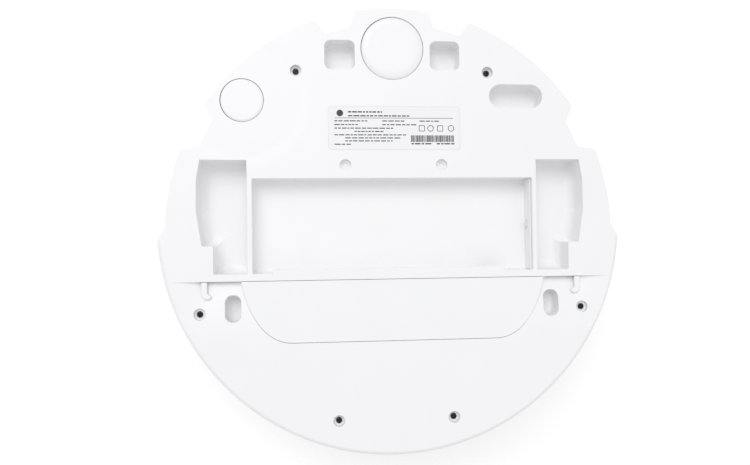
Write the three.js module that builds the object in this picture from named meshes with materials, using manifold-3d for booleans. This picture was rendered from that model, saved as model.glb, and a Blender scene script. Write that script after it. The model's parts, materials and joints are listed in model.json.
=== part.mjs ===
// Robot vacuum body, lying on its turret with the underside up.
// Millimetres. +Z runs from the turret top (z = 0) to the underside, +Y is the robot's front,
// so +X is the robot's own left-hand side.
import * as THREE from "three";
import { mergeVertices } from "three/addons/utils/BufferGeometryUtils.js";
import { ConvexGeometry } from "three/addons/geometries/ConvexGeometry.js";
import Module from "manifold-3d";

const wasm = await Module();
wasm.setup();

// Heights
const UNDERSIDE = 84;
const SPLIT = 46;
const TOP_FACE = 14;
const PLATE = 3.5;
const WALL = 3;
const GAP = 0.3;
const CEILING = UNDERSIDE - PLATE;

// Plan sizes
const REAR_R = 175;
const FRONT_R = 168.3;
const FRONT_CY = -7.2;
const SIDE_NOTCH_R = 153.5;
const FRONT_NOTCH_R = 149.3;
const TAB_R = 160.4;
const TAB_HALF = 28;

// Underside features
const CASTER = { x: 0, y: 130.1, r: 23.4 };
const SIDE_BRUSH = { x: -112.3, y: 90.1, r: 15.6 };
const SCREWS = [
  [-72.7, 112.5],
  [72.7, 112.5],
  [-144.3, -67.2],
  [144.3, -67.2],
  [-43.3, -148],
  [43.3, -148],
];
const OPEN_BORES = [
  [-36.4, 42],
  [36.4, 42],
];
const COUNTERBORE_R = 4.3;
const BOSS_R = 6.3;
const BAY = { x0: -105.8, x1: 106.3, y0: -38.2, y1: 32.2, depth: 20 };
const WELL_DEPTH = 26;
const TUB_WALL = 1.4;
const SENSOR_POCKET = { x: 39.8, y: 124.8, w: 22.6, h: 21.8, r: 4.5 };
const OVAL_POCKET = { x: 94.7, y: 94.4, w: 41.5, h: 18, r: 8.99 };
const CLIP_SLOT = { x: 120.2, y: -63.7, w: 11.7, h: 19.8, r: 5.3 };
const CLIP_CUP_TOP = 75;
const BAR_Y = -43.4;
const MOON_Y = -89.8;
const RECESS_DEPTH = 5.5;
const RECESS_RUN = 48;
const LABEL = { x: 1, y: 69.7, w: 99.8, h: 32.6, r: 2.3 };

// Turret
const TURRET = { x: 0, y: 12, r: 46 };
const ROTOR_NECK_R = 30;
const PULLEY = { x: 56, y: 12, r: 6 };

// Drive, power and air
const COUPLING = { y: -3, z: 70.5, r: 4 };
const SIDE_MOTOR = { x: -90, y: 67 };
const BATTERY = { y: 76.3, w: 142, h: 54 };
const FAN = { x: 44, y: -96, r: 34 };
const SPEAKER = { x: 92, y: 66 };
const EXHAUST = { a0: (-73 * Math.PI) / 180, a1: (-53 * Math.PI) / 180, z0: 54, z1: 68 };

// Upper half
const LID = { half: 80, frontY: -48, r: 156 };
const HINGE = { y: -48, z: 16.2, pinR: 1, barrelR: 2.2 };
const BUTTON = { x: 14, y: 112, r: 8 };

function material(color, roughness, metalness = 0) {
  return new THREE.MeshStandardMaterial({ color, roughness, metalness });
}

// ---- solids ----

function solid(geometry) {
  const bare = geometry.index ? geometry.toNonIndexed() : geometry.clone();
  for (const key of Object.keys(bare.attributes)) {
    if (key !== "position") bare.deleteAttribute(key);
  }
  const merged = mergeVertices(bare, 1e-4);
  const mesh = new wasm.Mesh({
    numProp: 3,
    vertProperties: new Float32Array(merged.attributes.position.array),
    triVerts: new Uint32Array(merged.index.array),
  });
  return new wasm.Manifold(mesh);
}

function geometryOf(body) {
  const data = body.getMesh();
  const geometry = new THREE.BufferGeometry();
  geometry.setAttribute("position", new THREE.BufferAttribute(new Float32Array(data.vertProperties), 3));
  geometry.setIndex(new THREE.BufferAttribute(new Uint32Array(data.triVerts), 1));
  geometry.computeVertexNormals();
  return geometry;
}

function slab(shape, z0, z1, curveSegments = 8) {
  const geometry = new THREE.ExtrudeGeometry(shape, { depth: z1 - z0, bevelEnabled: false, curveSegments });
  return solid(geometry.translate(0, 0, z0));
}

function box(x0, x1, y0, y1, z0, z1) {
  const geometry = new THREE.BoxGeometry(x1 - x0, y1 - y0, z1 - z0);
  return solid(geometry.translate((x0 + x1) / 2, (y0 + y1) / 2, (z0 + z1) / 2));
}

function disc(x, y, r, z0, z1, segments = 32) {
  const geometry = new THREE.CylinderGeometry(r, r, z1 - z0, segments);
  return solid(geometry.rotateX(Math.PI / 2).translate(x, y, (z0 + z1) / 2));
}

function rod(x0, x1, y, z, r, segments = 20) {
  const geometry = new THREE.CylinderGeometry(r, r, x1 - x0, segments);
  return solid(geometry.rotateZ(Math.PI / 2).translate((x0 + x1) / 2, y, z));
}

function lathe(x, y, profile, segments = 32) {
  const points = profile.map(([r, z]) => new THREE.Vector2(r, z));
  return solid(new THREE.LatheGeometry(points, segments).rotateX(Math.PI / 2).translate(x, y, 0));
}

function joined(bodies) {
  return bodies.reduce((a, b) => a.add(b));
}

function cut(body, tools) {
  return tools.reduce((a, b) => a.subtract(b), body);
}

// ---- plan shapes ----

function arc(points, cx, cy, r, a0, a1, steps) {
  for (let i = 0; i <= steps; i++) {
    const a = a0 + ((a1 - a0) * i) / steps;
    points.push([cx + r * Math.cos(a), cy + r * Math.sin(a)]);
  }
}

// Right half of the body outline, from the middle of the front tab round to the middle of the rear.
function halfOutline(inset) {
  const points = [];
  const tabR = TAB_R - inset;
  const half = TAB_HALF - inset;
  arc(points, 0, 0, tabR, Math.PI / 2, Math.acos(half / tabR), 5);
  points.push([half + 3, 147.3 - inset]);
  const notchR = FRONT_NOTCH_R - inset;
  arc(points, 0, 0, notchR, Math.acos((32.5 - inset) / notchR), Math.acos((51 + inset) / notchR), 4);
  const lobeR = FRONT_R - inset;
  const lobe0 = Math.acos((58.6 + inset) / lobeR);
  const lobe1 = Math.acos((139.2 - 1.5 * inset) / lobeR);
  arc(points, 0, FRONT_CY, lobeR, lobe0, lobe1, 10);
  const sideR = SIDE_NOTCH_R - inset;
  arc(points, 0, 0, sideR, Math.asin((75.4 + inset) / sideR), Math.asin((56.4 - inset) / sideR), 4);
  const bandR = FRONT_R - inset;
  const band0 = Math.asin((54 - inset - FRONT_CY) / bandR);
  const band1 = Math.asin((-2 - FRONT_CY) / bandR);
  arc(points, 0, FRONT_CY, bandR, band0, band1, 4);
  const rearR = REAR_R - inset;
  arc(points, 0, 0, rearR, Math.asin(-13 / rearR), -Math.PI / 2, 24);
  return points;
}

function mirrored(half) {
  const left = half.slice(1, -1).reverse().map(([x, y]) => [-x, y]);
  return new THREE.Shape([...half, ...left].map(([x, y]) => new THREE.Vector2(x, y)));
}

function outline(inset) {
  return mirrored(halfOutline(inset));
}

function polygon(points) {
  return new THREE.Shape(points.map(([x, y]) => new THREE.Vector2(x, y)));
}

function roundedRect(cx, cy, w, h, r) {
  const shape = new THREE.Shape();
  const x = w / 2 - r;
  const y = h / 2 - r;
  shape.absarc(cx + x, cy + y, r, 0, Math.PI / 2);
  shape.absarc(cx - x, cy + y, r, Math.PI / 2, Math.PI);
  shape.absarc(cx - x, cy - y, r, Math.PI, 1.5 * Math.PI);
  shape.absarc(cx + x, cy - y, r, 1.5 * Math.PI, 2 * Math.PI);
  return shape;
}

function pocketShape(pocket, side, grow = 0) {
  const { x, y, w, h, r } = pocket;
  return roundedRect(side * x, y, w + 2 * grow, h + 2 * grow, r + grow);
}

function labelShape(grow) {
  return roundedRect(LABEL.x, LABEL.y, LABEL.w + 2 * grow, LABEL.h + 2 * grow, LABEL.r + grow);
}

// The half-moon panel: flat front edge, curved sides, flat rear edge.
function moonShape(grow) {
  const shape = new THREE.Shape();
  const x0 = 114.3 + grow;
  const y0 = BAR_Y + grow;
  const x1 = 76.6;
  const y1 = MOON_Y - grow;
  shape.moveTo(-x0, y0);
  shape.bezierCurveTo(-110.5 - grow, -66, -98, y1, -x1, y1);
  shape.lineTo(x1, y1);
  shape.bezierCurveTo(98, y1, 110.5 + grow, -66, x0, y0);
  return shape;
}

// Wheel well opening on the robot's left (+X); side -1 mirrors it.
function wellPoints(side, grow = 0) {
  const points = [
    [109.5 - grow, 46 + grow],
    [143.4 + grow, 46 + grow],
    [145.9 + grow, 32],
    [146.2 + grow, 8],
    [142.3 + grow, -17.4 - grow],
    [134 + grow, -17.4 - grow],
    [134 + grow, -38.2 - grow],
    [109.5 - grow, -38.2 - grow],
  ];
  return polygon(points.map(([x, y]) => [side * x, y]));
}

// D-shaped plan of the dust lid and of the dust box under it.
function lidShape(halfWidth, frontY, r) {
  const points = [];
  const corner = Math.acos(halfWidth / r);
  points.push([-halfWidth, frontY]);
  arc(points, 0, 0, r, Math.PI + corner, 2 * Math.PI - corner, 10);
  points.push([halfWidth, frontY]);
  return polygon(points);
}

// ---- base cover ----

function outerShell() {
  const round = 2;
  const geometry = new THREE.ExtrudeGeometry(outline(0), {
    depth: UNDERSIDE - SPLIT,
    bevelThickness: round,
    bevelSize: round,
    bevelOffset: -round,
    bevelSegments: 1,
  });
  const z0 = SPLIT - round;
  const shell = solid(geometry.translate(0, 0, z0));
  return shell.subtract(box(-200, 200, -200, 200, SPLIT - 10, SPLIT + GAP));
}

// The wedge-shaped recess beside the half-moon panel: deepest at the cross bar, running out to the rear.
// It is taken 1 mm above the underside, and `sink` lowers all of it.
function recess(side, sink) {
  const z = UNDERSIDE + 1 - sink;
  const deep = UNDERSIDE - RECESS_DEPTH - sink;
  const endY = BAR_Y - RECESS_RUN;
  const corners = [
    [60, BAR_Y, z],
    [60, BAR_Y, deep],
    [60, endY, z],
    [140, BAR_Y, deep],
    [140, endY, z],
    [170, BAR_Y, z],
  ];
  const points = corners.map(([x, y, h]) => new THREE.Vector3(side * x, y, h));
  return solid(new ConvexGeometry(points));
}

// Thickening round a clip slot, down to the cup below it.
function slotCollar(side) {
  return slab(pocketShape(CLIP_SLOT, side, 1.5), CLIP_CUP_TOP + GAP, CEILING + 0.5, 3);
}

function screwBoss(x, y) {
  return disc(x, y, BOSS_R, 70, CEILING + 0.5, 12);
}

function screwBore(x, y) {
  return disc(x, y, COUNTERBORE_R, 77.6, UNDERSIDE + 1, 20).add(disc(x, y, 1.9, 69, 78, 8));
}

// The two bores in front of the bay are blind.
function openBore(x, y) {
  return disc(x, y, COUNTERBORE_R, 79, UNDERSIDE + 1, 20).add(disc(x, y, 2.5, 75, 79.5, 12));
}

function bayOpening() {
  const open = box(BAY.x0, BAY.x1, BAY.y0, BAY.y1, CEILING - 1, UNDERSIDE + 1);
  const lip = box(-90.8, 83.4, BAY.y0 - 1, -35, CEILING - 2, UNDERSIDE + 2);
  return open.subtract(lip);
}

function exhaustSector(r0, r1, z0, z1, a0, a1, steps = 1) {
  const points = [];
  arc(points, 0, 0, r1, a0, a1, steps);
  arc(points, 0, 0, r0, a1, a0, steps);
  return slab(polygon(points), z0, z1);
}

function baseCover() {
  const sides = [-1, 1];
  let body = outerShell().subtract(slab(outline(WALL), SPLIT - 1, CEILING));
  const inside = slab(outline(1.5), SPLIT, UNDERSIDE - 1);
  const backing = slab(moonShape(3), 77.5, UNDERSIDE - 1);
  const thick = joined(sides.map((s) => recess(s, 3.5))).intersect(inside);
  body = joined([body, backing, thick]);
  const bosses = [...SCREWS, ...OPEN_BORES].map(([x, y]) => screwBoss(x, y));
  body = joined([body, ...bosses, ...sides.map(slotCollar)]);
  const moonBlock = slab(moonShape(0), 60, 100);
  body = cut(body, [
    ...sides.map((s) => recess(s, 0).subtract(moonBlock)),
    slab(moonShape(0), UNDERSIDE - 3.3, UNDERSIDE + 1),
    ...sides.map((s) => slab(wellPoints(s), CEILING - 1, UNDERSIDE + 1)),
    bayOpening(),
    ...SCREWS.map(([x, y]) => screwBore(x, y)),
    ...OPEN_BORES.map(([x, y]) => openBore(x, y)),
    ...sides.map((s) => slab(pocketShape(SENSOR_POCKET, s), CEILING - 1, UNDERSIDE + 1, 3)),
    slab(pocketShape(OVAL_POCKET, 1), CEILING - 1, UNDERSIDE + 1, 6),
    ...sides.map((s) => slab(pocketShape(CLIP_SLOT, s), 60, UNDERSIDE + 1, 3)),
    disc(CASTER.x, CASTER.y, CASTER.r + 0.6, CEILING - 1, UNDERSIDE + 1, 36),
    disc(SIDE_BRUSH.x, SIDE_BRUSH.y, SIDE_BRUSH.r + 0.5, CEILING - 1, UNDERSIDE + 1, 30),
    slab(labelShape(GAP), UNDERSIDE - 0.6, UNDERSIDE + 1, 3),
    exhaustSector(165, 180, EXHAUST.z0, EXHAUST.z1, EXHAUST.a0, EXHAUST.a1),
  ]);
  return body;
}

function rearPanel() {
  return slab(moonShape(-GAP), UNDERSIDE - 3, UNDERSIDE, 10);
}

// Hooked catch beside the cross bar; the hook points to the middle.
function catchHook(side) {
  const points = [
    [143.1, BAR_Y - 0.4],
    [143.1, -53.4],
    [141.4, -56],
    [138.2, -56.6],
    [135.7, -55.4],
    [135.7, -53.6],
    [137.4, -53.2],
    [138.6, -52],
    [138.6, BAR_Y - 0.4],
  ];
  return slab(polygon(points.map(([x, y]) => [side * x, y])), 81, UNDERSIDE - 0.4);
}

function label() {
  return slab(labelShape(0), UNDERSIDE - 0.3, UNDERSIDE + 0.1, 3);
}

function screw(x, y) {
  const profile = [
    [0, 57],
    [1.5, 58],
    [1.5, 77.9],
    [2.5, 77.9],
    [2.5, 78.9],
    [1.9, 79.5],
    [1.1, 79.5],
    [0.8, 78.7],
    [0, 78.7],
  ];
  return lathe(x, y, profile, 12);
}

// ---- pieces set into the underside ----

function casterDisc() {
  const { x, y, r } = CASTER;
  const profile = [
    [0, 72],
    [4.5, 72],
    [4.5, 80.8],
    [r, 80.8],
    [r, 83.7],
    [r - 1.2, 84.6],
    [r * 0.6, 85],
    [0, 85.2],
  ];
  return lathe(x, y, profile, 36);
}

function casterSocket() {
  const { x, y } = CASTER;
  const cup = disc(x, y, 26, 64, CEILING - GAP, 32);
  return cut(cup, [disc(x, y, 24.4, 79.9, 90, 32), disc(x, y, 4.9, 70, 90, 16)]);
}

function sideBrushHub() {
  const { x, y, r } = SIDE_BRUSH;
  const profile = [
    [0, 74],
    [3.5, 74],
    [3.5, 80.8],
    [r, 80.8],
    [r, 83.8],
    [r - 1, 84.6],
    [0, 84.9],
  ];
  return lathe(x, y, profile, 30);
}

function sideBrushGearbox() {
  const { x, y } = SIDE_BRUSH;
  const a = Math.atan2(y - SIDE_MOTOR.y, x - SIDE_MOTOR.x);
  const nx = Math.sin(a) * 11;
  const ny = Math.cos(a) * 11;
  const web = polygon([
    [x + nx, y - ny],
    [SIDE_MOTOR.x + nx, SIDE_MOTOR.y - ny],
    [SIDE_MOTOR.x - nx, SIDE_MOTOR.y + ny],
    [x - nx, y + ny],
  ]);
  const body = joined([
    disc(x, y, 14.5, 64, 80, 20),
    disc(SIDE_MOTOR.x, SIDE_MOTOR.y, 12, 64, 80, 16),
    slab(web, 64, 80),
  ]);
  return body.subtract(disc(x, y, 3.9, 72, 81, 12));
}

function sideBrushMotor() {
  return disc(SIDE_MOTOR.x, SIDE_MOTOR.y, 10, 52, 63.7, 24);
}

function tub(openShape, outerShape, z0, z1, floor) {
  return slab(outerShape, z0, z1, 4).subtract(slab(openShape, z0 + floor, z1 + 1, 4));
}

function wheelWell(side) {
  const z0 = UNDERSIDE - WELL_DEPTH - TUB_WALL;
  return tub(wellPoints(side), wellPoints(side, TUB_WALL), z0, CEILING - GAP, TUB_WALL);
}

function brushBay() {
  const z0 = UNDERSIDE - BAY.depth;
  const top = CEILING - GAP;
  const w = TUB_WALL;
  const outer = box(BAY.x0 - w, BAY.x1 + w, BAY.y0 - w, BAY.y1 + w, z0 - w, top);
  return cut(outer, [
    box(BAY.x0, BAY.x1, BAY.y0, BAY.y1, z0, top + 1),
    box(BAY.x1 - 40, BAY.x1 - 20, BAY.y0 - 5, BAY.y0 + 1, z0 + 3, top - 4),
  ]);
}

// Slim gear case standing at the drive end of the brush bay.
function brushGearCase() {
  const z0 = UNDERSIDE - BAY.depth + GAP;
  const body = box(103, BAY.x1 - GAP, BAY.y0 + GAP, BAY.y1 - GAP, z0, 76);
  return body.subtract(rod(100, 105, COUPLING.y, COUPLING.z, COUPLING.r + 0.4, 20));
}

function brushCoupling() {
  return rod(101.8, 104.6, COUPLING.y, COUPLING.z, COUPLING.r, 6);
}

function cup(pocket, side, z0, z1) {
  const open = pocketShape(pocket, side);
  const outer = pocketShape(pocket, side, 1.5);
  return slab(outer, z0, z1, 3).subtract(slab(open, z0 + 1.5, z1 + 1, 3));
}

// ---- drive, power and air pieces ----

function chassis() {
  const plate = slab(outline(WALL + 1), 47, 50);
  const posts = SCREWS.map(([x, y]) => disc(x, y, 5, 49, 69.7, 12));
  const bores = SCREWS.map(([x, y]) => disc(x, y, 1.9, 55, 71, 8));
  return cut(joined([plate, ...posts]), [
    ...bores,
    disc(FAN.x, FAN.y, 20, 46, 51, 32),
    slab(roundedRect(0, -20, 70, 30, 8), 46, 51, 3),
    disc(0, 76, 12, 46, 51, 20),
  ]);
}

function batteryPack() {
  const body = slab(roundedRect(0, BATTERY.y, BATTERY.w, BATTERY.h, 5), 53, 76, 3);
  const ridges = [-53, -35.5, -18, 18, 35.5, 53].map((x) => box(x - 0.6, x + 0.6, 40, 120, 75.2, 77));
  return cut(body, ridges);
}

function mainboard() {
  const board = box(-74, 74, 62, 128, 40, 41.6);
  const chips = [-52, 52].map((x) => box(x - 8, x + 8, 88, 104, 37, 40.5));
  const sockets = [-60, -40, 40, 60].map((x) => box(x - 6, x + 6, 64, 70, 34, 40.5));
  return joined([board, ...chips, ...sockets]);
}

function shieldCan() {
  return slab(roundedRect(0, 98, 62, 36, 3), 34.5, 39.7, 3);
}

// Round fan chamber with a duct leading to the exhaust grille.
function fanHousing() {
  const { x, y, r } = FAN;
  const duct = polygon([
    [x + 10, y - 30],
    [x + r, y],
    [x + r + 12, y - 52],
    [x + 26, y - 64],
  ]);
  const airway = polygon([
    [x + 13, y - 26],
    [x + r - 3, y - 4],
    [x + r + 13, y - 60],
    [x + 24, y - 72],
  ]);
  const body = disc(x, y, r, 51, 69, 28).add(slab(duct, 51, 69));
  const open = joined([
    disc(x, y, r - 2, 53, 67, 28),
    disc(x, y, 16, 50, 54, 20),
    disc(x, y, 3.4, 66, 70, 10),
    slab(airway, 53, 67).intersect(disc(0, 0, 168, 50, 70, 60)),
  ]);
  return body.intersect(disc(0, 0, 167, 50, 70, 60)).subtract(open);
}

function fanImpeller() {
  const { x, y } = FAN;
  const blades = [];
  const count = 9;
  for (let i = 0; i < count; i++) {
    const blade = new THREE.BoxGeometry(18, 1.4, 8);
    blade.translate(19, 0, 0);
    blade.rotateZ(0.35);
    blade.translate(-2, 0, 0);
    blade.rotateZ((2 * Math.PI * i) / count);
    blades.push(solid(blade.translate(x, y, 61)));
  }
  const plate = disc(x, y, 28, 64, 66, 24);
  const hub = disc(x, y, 9, 55, 65, 16);
  const shaft = disc(x, y, 2.6, 65, 70.5, 10);
  return joined([plate, hub, shaft, ...blades]);
}

function fanMotor() {
  const { x, y } = FAN;
  return disc(x, y, 15, 69.3, 76.5, 20).subtract(disc(x, y, 3.2, 69, 71.5, 10));
}

function exhaustGrille() {
  const { a0, a1, z0, z1 } = EXHAUST;
  const trim = 0.003;
  const body = exhaustSector(171.5, 174.4, z0 + GAP, z1 - GAP, a0 + trim, a1 - trim, 5);
  const slots = [];
  for (let i = 0; i < 9; i++) {
    const a = a0 + ((a1 - a0) * (i + 0.5)) / 9;
    slots.push(exhaustSector(165, 180, z0 + 2, z1 - 2, a - 0.011, a + 0.011));
  }
  return cut(body, slots);
}

function brushGearbox() {
  return slab(roundedRect(96, -59.5, 24, 30, 3), 52, 73, 3);
}

function brushMotor() {
  const geometry = new THREE.CylinderGeometry(11, 11, 38, 24);
  return solid(geometry.translate(96, -94.2, 63));
}

function speaker() {
  const { x, y } = SPEAKER;
  const frame = slab(roundedRect(x, y, 26, 30, 4), 55, 60, 3);
  const cone = [
    [0, 59],
    [9, 59],
    [12, 64],
    [12, 66],
    [9, 66],
    [4, 62],
    [0, 62],
  ];
  return frame.add(lathe(x, y, cone, 16));
}

// ---- upper half ----

function topCover() {
  const z1 = TOP_FACE + WALL;
  const shell = slab(outline(0), TOP_FACE, SPLIT).subtract(slab(outline(WALL), z1, SPLIT + 1));
  const ears = [-86, 80.6].map((x) => box(x, x + 5.4, HINGE.y - 3.5, HINGE.y + 3.5, TOP_FACE + 1, 20));
  const holeR = BUTTON.r + 0.4;
  const buttonHoles = [-1, 1].map((s) => disc(s * BUTTON.x, BUTTON.y, holeR, TOP_FACE - 1, z1 + 1, 20));
  return cut(joined([shell, ...ears]), [
    slab(lidShape(LID.half + 0.4, LID.frontY + 2.7, LID.r + 0.4), TOP_FACE - 1, z1 + 0.1),
    rod(-84.5, 84.5, HINGE.y, HINGE.z, HINGE.pinR + GAP, 12),
    disc(TURRET.x, TURRET.y, 33, TOP_FACE - 1, z1 + 1, 32),
    ...buttonHoles,
  ]);
}

function dustLid() {
  const plate = slab(lidShape(LID.half, LID.frontY, LID.r), TOP_FACE, TOP_FACE + WALL);
  const barrel = rod(-LID.half, LID.half, HINGE.y, HINGE.z, HINGE.barrelR, 20);
  const bore = rod(-90, 90, HINGE.y, HINGE.z, HINGE.pinR + GAP, 12);
  const finger = slab(roundedRect(0, -140, 30, 9, 4.4), TOP_FACE - 1, TOP_FACE + 1.4, 4);
  return cut(plate.add(barrel), [bore, finger]);
}

function lidHingePin() {
  return rod(-84.2, 84.2, HINGE.y, HINGE.z, HINGE.pinR, 12);
}

function dustBox() {
  const outer = slab(lidShape(74, -54, 149), 20, 45.5);
  const inner = slab(lidShape(72, -56, 147), 22, 50);
  return cut(outer, [inner, box(-30, 30, -60, -50, 26, 40)]);
}

function dustFilter() {
  const frame = slab(roundedRect(30, -100, 60, 60, 4), 26, 34, 3);
  const pleats = [];
  for (let i = 0; i < 7; i++) {
    const y = -124 + i * 8;
    pleats.push(box(5, 55, y - 2, y + 2, 30, 36));
  }
  return cut(frame, pleats);
}

function turretCap() {
  const { x, y, r } = TURRET;
  const plate = lathe(x, y, [[0, 0], [r - 2, 0], [r, 2], [r, 3], [0, 3]], 40);
  const posts = [Math.PI / 2, (7 * Math.PI) / 6, (11 * Math.PI) / 6].map((a) => {
    const post = new THREE.BoxGeometry(3.6, 9, 11.4);
    post.translate(r - 4, 0, 0);
    post.rotateZ(a);
    return solid(post.translate(x, y, 8));
  });
  return joined([plate, ...posts]);
}

function lidarRotor() {
  const { x, y } = TURRET;
  const profile = [
    [0, 3.4],
    [35, 3.4],
    [36, 4.4],
    [36, 13],
    [ROTOR_NECK_R, 13],
    [ROTOR_NECK_R, 28],
    [0, 28],
  ];
  const windows = [-9, 11].map((dx) => box(x + dx - 4, x + dx + 4, y + 33, y + 40, 6, 11));
  return cut(lathe(x, y, profile, 36), windows);
}

function lidarBase() {
  const { x, y } = TURRET;
  const plate = slab(roundedRect(x + 10, y, 112, 76, 20), 17.3, 20, 4);
  return plate.subtract(disc(x, y, 31, 17, 21, 32));
}

function lidarMotor() {
  return disc(PULLEY.x, PULLEY.y, 11, 28, 44, 24).add(disc(PULLEY.x, PULLEY.y, 1.2, 25, 29, 12));
}

function lidarPulley() {
  return disc(PULLEY.x, PULLEY.y, PULLEY.r, 22, 27, 24).subtract(disc(PULLEY.x, PULLEY.y, 1.5, 24, 28, 12));
}

function beltLoop(offset) {
  const big = ROTOR_NECK_R + offset;
  const small = PULLEY.r + offset;
  const lean = Math.acos((big - small) / (PULLEY.x - TURRET.x));
  const points = [];
  arc(points, TURRET.x, TURRET.y, big, lean, 2 * Math.PI - lean, 22);
  arc(points, PULLEY.x, PULLEY.y, small, -lean, lean, 6);
  return polygon(points);
}

function lidarBelt() {
  return slab(beltLoop(1.6), 23, 26).subtract(slab(beltLoop(0.4), 22, 27));
}

function button(side) {
  const x = side * BUTTON.x;
  const flange = disc(x, BUTTON.y, BUTTON.r + 1.4, 17.4, 18.5, 20);
  return disc(x, BUTTON.y, BUTTON.r, TOP_FACE - 0.4, 18.5, 20).add(flange);
}

// ---- assembly ----

const white = ["#f4f4f6", 0.42];
const ivory = ["#eeeef0", 0.5];
const dark = ["#2c2d30", 0.6];
const steel = ["#a9abb0", 0.35, 0.9];
const bright = ["#b9bbc0", 0.3, 0.9];
const buttonGrey = ["#e2e2e5", 0.4];

const root = new THREE.Group();
root.name = "robot_vacuum_body";
root.position.y = (REAR_R - TAB_R) / 2; // the origin is the middle of the plan

function add(name, body, look) {
  const mesh = new THREE.Mesh(geometryOf(body), material(...look));
  mesh.name = name;
  root.add(mesh);
}

add("base_cover", baseCover(), white);
add("rear_panel", rearPanel(), white);
add("catch_right", catchHook(-1), white);
add("catch_left", catchHook(1), white);
add("rating_label", label(), ["#ececee", 0.55]);
SCREWS.forEach(([x, y], i) => add(`cover_screw_${i + 1}`, screw(x, y), ["#1d1e20", 0.4, 0.8]));
add("caster_disc", casterDisc(), white);
add("caster_socket", casterSocket(), ivory);
add("side_brush_hub", sideBrushHub(), white);
add("side_brush_gearbox", sideBrushGearbox(), ivory);
add("side_brush_motor", sideBrushMotor(), steel);
add("wheel_well_right", wheelWell(-1), white);
add("wheel_well_left", wheelWell(1), white);
add("brush_bay", brushBay(), white);
add("brush_gear_case", brushGearCase(), white);
add("brush_coupling", brushCoupling(), ivory);
add("brush_gearbox", brushGearbox(), dark);
add("brush_motor", brushMotor(), steel);
add("sensor_cup_right", cup(SENSOR_POCKET, -1, 66, CEILING - GAP), ivory);
add("sensor_cup_left", cup(SENSOR_POCKET, 1, 66, CEILING - GAP), ivory);
add("oval_cup", cup(OVAL_POCKET, 1, 66, CEILING - GAP), ivory);
add("clip_cup_right", cup(CLIP_SLOT, -1, 66, CLIP_CUP_TOP), ivory);
add("clip_cup_left", cup(CLIP_SLOT, 1, 66, CLIP_CUP_TOP), ivory);
add("chassis", chassis(), dark);
add("battery_pack", batteryPack(), ["#3a4a63", 0.5]);
add("mainboard", mainboard(), ["#1f5a3a", 0.45]);
add("shield_can", shieldCan(), bright);
add("fan_housing", fanHousing(), dark);
add("fan_impeller", fanImpeller(), ["#55585c", 0.45]);
add("fan_motor", fanMotor(), steel);
add("exhaust_grille", exhaustGrille(), ivory);
add("speaker", speaker(), dark);
add("top_cover", topCover(), white);
add("dust_lid", dustLid(), white);
add("lid_hinge_pin", lidHingePin(), bright);
add("dust_box", dustBox(), ["#63666b", 0.3]);
add("dust_filter", dustFilter(), ["#d8dade", 0.8]);
add("turret_cap", turretCap(), white);
add("lidar_rotor", lidarRotor(), dark);
add("lidar_base", lidarBase(), dark);
add("lidar_motor", lidarMotor(), steel);
add("lidar_pulley", lidarPulley(), ivory);
add("lidar_belt", lidarBelt(), ["#151515", 0.8]);
add("power_button", button(-1), buttonGrey);
add("home_button", button(1), buttonGrey);

export default root;
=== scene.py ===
"""Robot vacuum body lying on its turret, underside up, on a pale studio floor."""
import json
import math
import random

import bmesh
import bpy
from mathutils import Matrix, Vector


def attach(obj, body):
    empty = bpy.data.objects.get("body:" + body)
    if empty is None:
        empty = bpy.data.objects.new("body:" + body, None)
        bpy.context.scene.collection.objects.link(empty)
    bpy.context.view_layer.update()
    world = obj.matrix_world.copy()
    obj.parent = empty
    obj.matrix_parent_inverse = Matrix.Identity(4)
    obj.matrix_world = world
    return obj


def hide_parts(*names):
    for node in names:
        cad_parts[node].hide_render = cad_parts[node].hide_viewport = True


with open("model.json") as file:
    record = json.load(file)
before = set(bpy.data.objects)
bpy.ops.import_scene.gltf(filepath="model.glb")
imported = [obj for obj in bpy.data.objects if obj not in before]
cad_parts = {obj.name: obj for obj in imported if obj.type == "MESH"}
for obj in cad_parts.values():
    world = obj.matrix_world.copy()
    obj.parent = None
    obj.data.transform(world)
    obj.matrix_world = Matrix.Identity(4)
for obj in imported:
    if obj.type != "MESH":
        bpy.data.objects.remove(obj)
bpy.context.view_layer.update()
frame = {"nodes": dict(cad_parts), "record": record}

MM = 0.001
SHIFT_Y = 7.3          # the plan's circles are centred this far in front of the frame's origin
TOP = 84.0             # height of the underside's plane
CEILING = 80.5         # height of the base cover's inner face
SPLIT = 46.0           # height of the seam between the two covers
FACE = 14.0            # height of the top cover's outer face
WALL = 3.0             # thickness of both covers
BODY = "body"


# ---- camera ----

def place_camera():
    tilt_x, tilt_y, roll = -0.020579, 0.098235, 0.013221
    shift = Vector((14.762, 8.778, -539.887))
    turn = Matrix.Rotation(tilt_x, 3, "X") @ Matrix.Rotation(tilt_y, 3, "Y")
    turn = turn @ Matrix.Rotation(roll, 3, "Z")
    eye = turn.transposed() @ (-shift)
    data = bpy.data.cameras.new("camera")
    data.sensor_width = 36.0
    data.lens = 34.56
    data.clip_start = 0.01
    data.clip_end = 20.0
    data.dof.use_dof = False
    cam = bpy.data.objects.new("camera", data)
    bpy.context.scene.collection.objects.link(cam)
    place = turn.transposed().to_4x4()
    place.translation = Vector((eye.x, eye.y + SHIFT_Y, eye.z + TOP)) * MM
    cam.matrix_world = place
    bpy.context.scene.camera = cam


place_camera()


# ---- mesh tools, all in millimetres until a piece is placed ----

def new_object(name, verts, faces):
    mesh = bpy.data.meshes.new(name)
    mesh.from_pydata([tuple(v) for v in verts], [], faces)
    mesh.validate()
    obj = bpy.data.objects.new(name, mesh)
    bpy.context.scene.collection.objects.link(obj)
    bm = bmesh.new()
    bm.from_mesh(mesh)
    bmesh.ops.remove_doubles(bm, verts=bm.verts, dist=1e-5)
    bmesh.ops.recalc_face_normals(bm, faces=bm.faces)
    bm.to_mesh(mesh)
    bm.free()
    return obj


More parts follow.
